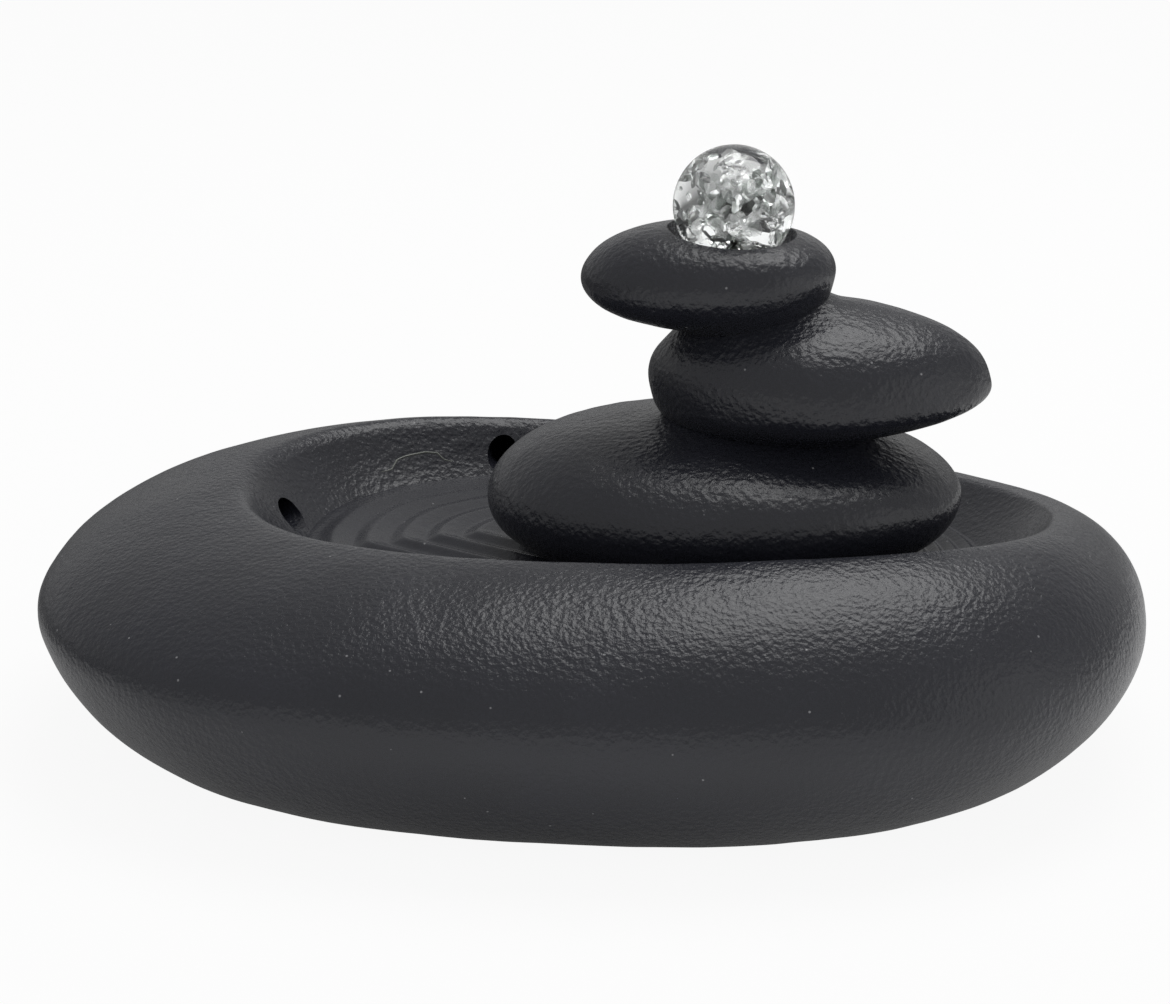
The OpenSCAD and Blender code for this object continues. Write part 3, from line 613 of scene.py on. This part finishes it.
slice_off(lower, (0, 0, 0.045), (0, 0, -1))
for below, above, seat, tilt, lap in (
        (lower, middle, Vector((0.0464, 0.008, 0.0793)), -4, 0.0016),
        (middle, upper, Vector((0.0411, 0.008, 0.1084)), 12.7, 0.0012)):
    slice_off(below, seat + seat_normal(tilt, lap), seat_normal(tilt, 1))
    slice_off(above, seat - seat_normal(tilt, lap), seat_normal(tilt, -1))
spout = tuple(stack * 0.001)
bore, cup_round = 0.006, 0.0172
for piece, radius, start, end in (
        (lower, 0.016, 0.040, 0.060), (lower, bore, 0.050, 0.095), (middle, bore, 0.060, 0.125),
        (upper, bore, 0.095, 0.125), (upper, 0.0123, 0.112, 0.125)):
    cut_away(piece, round_cutter(radius, start, end, spout))
ball_at = Vector((*spout, 0.135))
bpy.ops.object.select_all(action="DESELECT")
bpy.ops.mesh.primitive_uv_sphere_add(segments=96, ring_count=64, radius=cup_round,
                                     location=ball_at)
bpy.ops.object.transform_apply(location=True, rotation=True, scale=True)
cut_away(upper, bpy.context.active_object)
stone_skin = resin_finish("hammered_resin_stone", grain=0.0012, tone=0.014)
for piece, name in ((lower, "lower"), (middle, "middle"), (upper, "upper")):
    pick(piece)
    bpy.ops.object.shade_smooth_by_angle(angle=math.radians(50))
    settle(piece, name + "_stone", stone_skin, "stack", "stone_" + name)


# Ball. A 30 mm ball of clear glass, heated and quenched so that its inside has crazed into
# bright facets, under a thin skin that stayed clear.
clear, w = new_finish("clear_glass_skin")
place = w.node("TexCoord", None, None, "Object")
waver = w.node("TexNoise", None, {"Vector": place, "Scale": 120.0, "Detail": 1.0}, 0)
ripple = w.node("Bump", None, {"Strength": 0.25, "Distance": 0.0003, "Height": waver}, "Normal")
glass = w.node("BsdfPrincipled", None, {
    "Base Color": (0.97, 0.985, 0.98, 1), "Roughness": 0.0, "IOR": 1.46,
    "Transmission Weight": 1.0, "Normal": ripple})
w.node("OutputMaterial", None, {"Surface": glass})

bpy.ops.object.select_all(action="DESELECT")
bpy.ops.mesh.primitive_uv_sphere_add(segments=128, ring_count=80, radius=0.015, location=ball_at)
ball = bpy.context.active_object
bpy.ops.object.transform_apply(location=True, rotation=True, scale=True)
bpy.ops.object.shade_smooth()
settle(ball, "ball_skin", clear, "ball", "glass_ball")


def crack_finish(name, dark, haze):
    """Air gaps seen from inside the glass, each with a painted grey that stands in for shade, darker
    towards the ball's centre, and a trace of haze.
    """
    finish, w = new_finish(name)
    place = w.node("TexCoord", None, None, "Object")
    cells = w.node("TexVoronoi", {"feature": "F1"}, {"Vector": place, "Scale": 330.0}, "Color")
    split = w.node("SeparateColor", None, {"Color": cells}, 0)
    # Painted shade: the crack faces get a dark, grey or clear tint by cell, and the dark end is
    # painted more towards the ball's centre.
    deep = w.node("VectorMath", {"operation": "DISTANCE"}, {0: place, 1: tuple(ball_at)}, "Value")
    painted_crack_shade = w.node("ValToRGB", {"stops": [
        (0.24, (dark * 0.9, dark, dark * 0.92)), (0.42, (0.50, 0.53, 0.51)),
        (0.58, (0.96, 0.97, 0.965)), (1.0, (1.0, 1.0, 1.0))]},
        {"Fac": split * 0.64 + deep * 35})
    grit = w.node("TexNoise", None, {"Vector": place, "Scale": 420.0, "Detail": 2.0}, 0)
    bump = w.node("Bump", None, {"Strength": 0.6, "Distance": 0.0005, "Height": grit}, "Normal")
    glass = w.node("BsdfPrincipled", None, {
        "Base Color": painted_crack_shade, "Roughness": 0.02 + grit * 0.06, "IOR": 0.76,
        "Transmission Weight": 1 - haze, "Normal": bump})
    w.node("OutputMaterial", None, {"Surface": glass})
    return finish


def crack_sheets(name, count, seed, low, high, finish):
    """Thin bent flakes of air inside the glass, each a few millimetres wide."""
    sides = 11
    bpy.ops.object.select_all(action="DESELECT")
    bpy.ops.mesh.primitive_uv_sphere_add(segments=sides, ring_count=4, radius=1)
    sheets = bpy.context.active_object
    blank = np.array([v.co for v in sheets.data.vertices])
    copies = sheets.modifiers.new("copies", "ARRAY")
    copies.use_relative_offset = False
    copies.use_constant_offset = True
    copies.constant_offset_displace = (3, 0, 0)
    copies.count = count
    bpy.ops.object.modifier_apply(modifier="copies")
    part = blank[:, 0] ** 2 + blank[:, 1] ** 2
    about = np.arctan2(blank[:, 1], blank[:, 0])
    step = np.round(about * sides / (2 * math.pi)).astype(int) % sides
    top = 0.05 * np.sign(np.round(blank[:, 2], 3))
    rng = np.random.default_rng(seed)
    flakes = []
    for _ in range(count):
        way = rng.normal(0, 1, 3)
        way /= np.linalg.norm(way)
        far = 12.2 * rng.uniform(0.05, 1) ** 0.55
        size = rng.uniform(low, high)
        size = min(size, 14.0 - far)
        face = way + rng.normal(0, 0.8, 3)
        face /= np.linalg.norm(face)
        u = np.cross(face, (0.3, 0.5, 0.81))
        u /= np.linalg.norm(u)
        v = np.cross(face, u)
        a = rng.uniform(0, 6.28) + 2 * math.pi * step / sides
        bow = rng.uniform(-0.22, 0.22) / size
        rim = rng.uniform(0.62, 1.0, sides) * size
        r = rim[step] * part
        flakes.append(way * far + np.outer(np.cos(a) * r, u) + np.outer(np.sin(a) * r, v)
                      + np.outer(bow * r * r + top, face))
    place = np.concatenate(flakes) * 0.001 + np.array(ball_at)
    sheets.data.vertices.foreach_set("co", place.astype(np.float32).ravel())
    sheets.data.update()
    settle(sheets, name, finish, "ball")


# The dark values are the painted shade of each set of cracks.
crack_sheets("ball_cracks_large", count=30, seed=5, low=2.6, high=5.2,
             finish=crack_finish("cracked_glass_large", dark=0.10, haze=0.14))
crack_sheets("ball_cracks_small", count=230, seed=8, low=0.7, high=2.3,
             finish=crack_finish("cracked_glass_small", dark=0.16, haze=0.22))


# Light and seat. A clear acrylic ring inside the cup carries the ball on a film of water,
# over a small ring light: three emitters on a board, potted in a black housing under a lens.
def moulded_finish(name, colour, rough, grain=0.0004, depth=0.00003, spec=0.5):
    """Moulded plastic, rubber or ceramic, with pores a grain wide and a trace of flow marks."""
    finish, w = new_finish(name)
    place = w.node("TexCoord", None, None, "Object")
    pores = w.node("TexNoise", None, {"Vector": place, "Scale": 1 / grain, "Detail": 2.0}, 0)
    flow = w.node("TexNoise", None, {"Vector": place, "Scale": 70.0, "Detail": 3.0}, 0)
    dark = tuple(c * 0.8 for c in colour)
    pale = tuple(min(1.0, c * 1.18) for c in colour)
    shade = w.node("ValToRGB", {"stops": [(0.3, dark), (0.5, colour), (0.75, pale)]},
                   {"Fac": flow * 0.7 + pores * 0.3})
    bump = w.node("Bump", None, {"Strength": 0.8, "Distance": depth, "Height": pores}, "Normal")
    body = w.node("BsdfPrincipled", None, {
        "Base Color": shade, "Roughness": rough - 0.06 + flow * 0.12,
        "Specular IOR Level": spec, "Normal": bump})
    w.node("OutputMaterial", None, {"Surface": body})
    return finish


def clear_finish(name, colour, rough):
    """Clear or milky plastic with a faint haze."""
    finish, w = new_finish(name)
    place = w.node("TexCoord", None, None, "Object")
    haze = w.node("TexNoise", None, {"Vector": place, "Scale": 400.0, "Detail": 2.0}, 0)
    bump = w.node("Bump", None, {"Strength": 0.3, "Distance": 0.00005, "Height": haze}, "Normal")
    body = w.node("BsdfPrincipled", None, {
        "Base Color": (*colour, 1), "Roughness": rough + haze * 0.1, "IOR": 1.49,
        "Transmission Weight": 1.0, "Normal": bump})
    w.node("OutputMaterial", None, {"Surface": body})
    return finish


def metal_finish(name, colour, rough, stretch=(40, 40, 900)):
    """Drawn or turned metal, its tool lines packed along the direction of most stretch."""
    finish, w = new_finish(name)
    place = w.node("TexCoord", None, None, "Object")
    lines = w.node("VectorMath", {"operation": "MULTIPLY"}, {0: place, 1: stretch})
    turned = w.node("TexNoise", None, {"Vector": lines, "Scale": 3.0, "Detail": 3.0}, 0)
    shade = w.node("ValToRGB", {"stops": [
        (0.3, tuple(c * 0.82 for c in colour)), (0.7, colour)]}, {"Fac": turned})
    bump = w.node("Bump", None, {"Strength": 0.4, "Distance": 0.00002, "Height": turned}, "Normal")
    body = w.node("BsdfPrincipled", None, {
        "Base Color": shade, "Metallic": 1.0, "Roughness": rough - 0.08 + turned * 0.16,
        "Normal": bump})
    w.node("OutputMaterial", None, {"Surface": body})
    return finish


acrylic = clear_finish("clear_acrylic", (0.93, 0.96, 0.96), 0.05)
dress("ball_seat", acrylic)
dress("led_lens", acrylic)
dress("led_housing", moulded_finish("black_plastic", (0.02, 0.02, 0.022), 0.5))
dress("led_potting", moulded_finish("potting_resin", (0.018, 0.018, 0.022), 0.25,
                                     grain=0.003, depth=0.00008))
board, w = new_finish("circuit_board")
place = w.node("TexCoord", None, None, "Object")
tracks = w.node("TexBrick", {"offset": 0.37}, {
    "Vector": place, "Scale": 260.0, "Mortar Size": 0.06, "Color1": (0.012, 0.10, 0.045, 1),
    "Color2": (0.014, 0.12, 0.055, 1), "Mortar": (0.03, 0.20, 0.10, 1)}, 0)
edge = w.node("TexNoise", None, {"Vector": place, "Scale": 800.0, "Detail": 2.0}, 0)
bump = w.node("Bump", None, {"Strength": 0.5, "Distance": 0.00003, "Height": edge}, "Normal")
mask = w.node("BsdfPrincipled", None, {"Base Color": tracks, "Roughness": 0.25 + edge * 0.15,
                                       "Normal": bump})
w.node("OutputMaterial", None, {"Surface": mask})
dress("led_board", board)
dress("driver_board", board)
emitter = moulded_finish("emitter_resin", (0.78, 0.70, 0.36), 0.3, grain=0.0006)
for letter in "abc":
    dress("led_emitter_" + letter, emitter)


# Water and wiring through the stack. A translucent riser tube carries the water up, with the
# light's thin lead beside it, held by a rubber grommet; two steel dowels pin the stones.
dress("riser_tube", clear_finish("riser_plastic", (0.86, 0.86, 0.80), 0.18))
rubber = moulded_finish("seal_rubber", (0.022, 0.022, 0.022), 0.62, grain=0.0006,
                        depth=0.00006, spec=0.35)
for name in ("riser_grommet", "base_seal", "cover_seal", "inlet_washer"):
    dress(name, rubber)
steel = metal_finish("dowel_steel", (0.62, 0.62, 0.63), 0.34)
dress("dowel_lower", steel)
dress("dowel_upper", steel)
jacket = moulded_finish("cable_jacket", (0.02, 0.02, 0.02), 0.45, grain=0.0005)
dress("led_lead", jacket)
dress("pump_lead", jacket)
dress("led_plug", moulded_finish("plug_plastic", (0.024, 0.024, 0.026), 0.42))
dress("led_socket", moulded_finish("socket_plastic", (0.03, 0.03, 0.032), 0.5))


# Pump. A small magnet-drive pump stands on four suction feet under the well: a black housing,
# a ferrite rotor with a pale impeller, and a slotted front cover with a flow slider.
casing = moulded_finish("pump_plastic", (0.018, 0.019, 0.022), 0.45, grain=0.0006, depth=0.00005)
for name in ("pump_housing", "pump_back_cover", "volute_cover"):
    dress(name, casing)
dress("flow_slider", moulded_finish("slider_plastic", (0.05, 0.05, 0.056), 0.5))
dress("stator_core",
      metal_finish("core_steel", (0.36, 0.36, 0.38), 0.5, stretch=(2400, 30, 30)))
dress("stator_coil",
      metal_finish("coil_copper", (0.72, 0.36, 0.18), 0.35, stretch=(1600, 20, 20)))
dress("pump_shaft", moulded_finish("shaft_ceramic", (0.82, 0.81, 0.77), 0.2, depth=0.00001))
ferrite = moulded_finish("magnet_ferrite", (0.035, 0.035, 0.038), 0.5, grain=0.0003,
                         depth=0.00005)
dress("rotor_magnet", ferrite)
dress("impeller", moulded_finish("impeller_plastic", (0.74, 0.74, 0.70), 0.4))
dress("front_bush", rubber)
pads = moulded_finish("pad_rubber", (0.016, 0.016, 0.016), 0.75, grain=0.0008, depth=0.00008,
                      spec=0.3)
for letter in "abcd":
    dress("suction_foot_" + letter, pads)


# Base. A flat moulded plate closes the bowl from below on a bead of sealant, and four round
# rubber pads keep it off the table.
dress("base_plate", moulded_finish("base_plastic", (0.024, 0.024, 0.026), 0.6, grain=0.0009,
                                   depth=0.00012))
for letter in "abcd":
    dress("foot_pad_" + letter, pads)


# Power socket. A round low-voltage socket at the back, clamped by a nut inside the bowl, with
# a brass pin in its bore.
dress("power_inlet", moulded_finish("inlet_plastic", (0.02, 0.02, 0.021), 0.4))
dress("inlet_nut", moulded_finish("nut_plastic", (0.02, 0.02, 0.022), 0.55))
dress("inlet_pin", metal_finish("pin_brass", (0.80, 0.62, 0.30), 0.25))
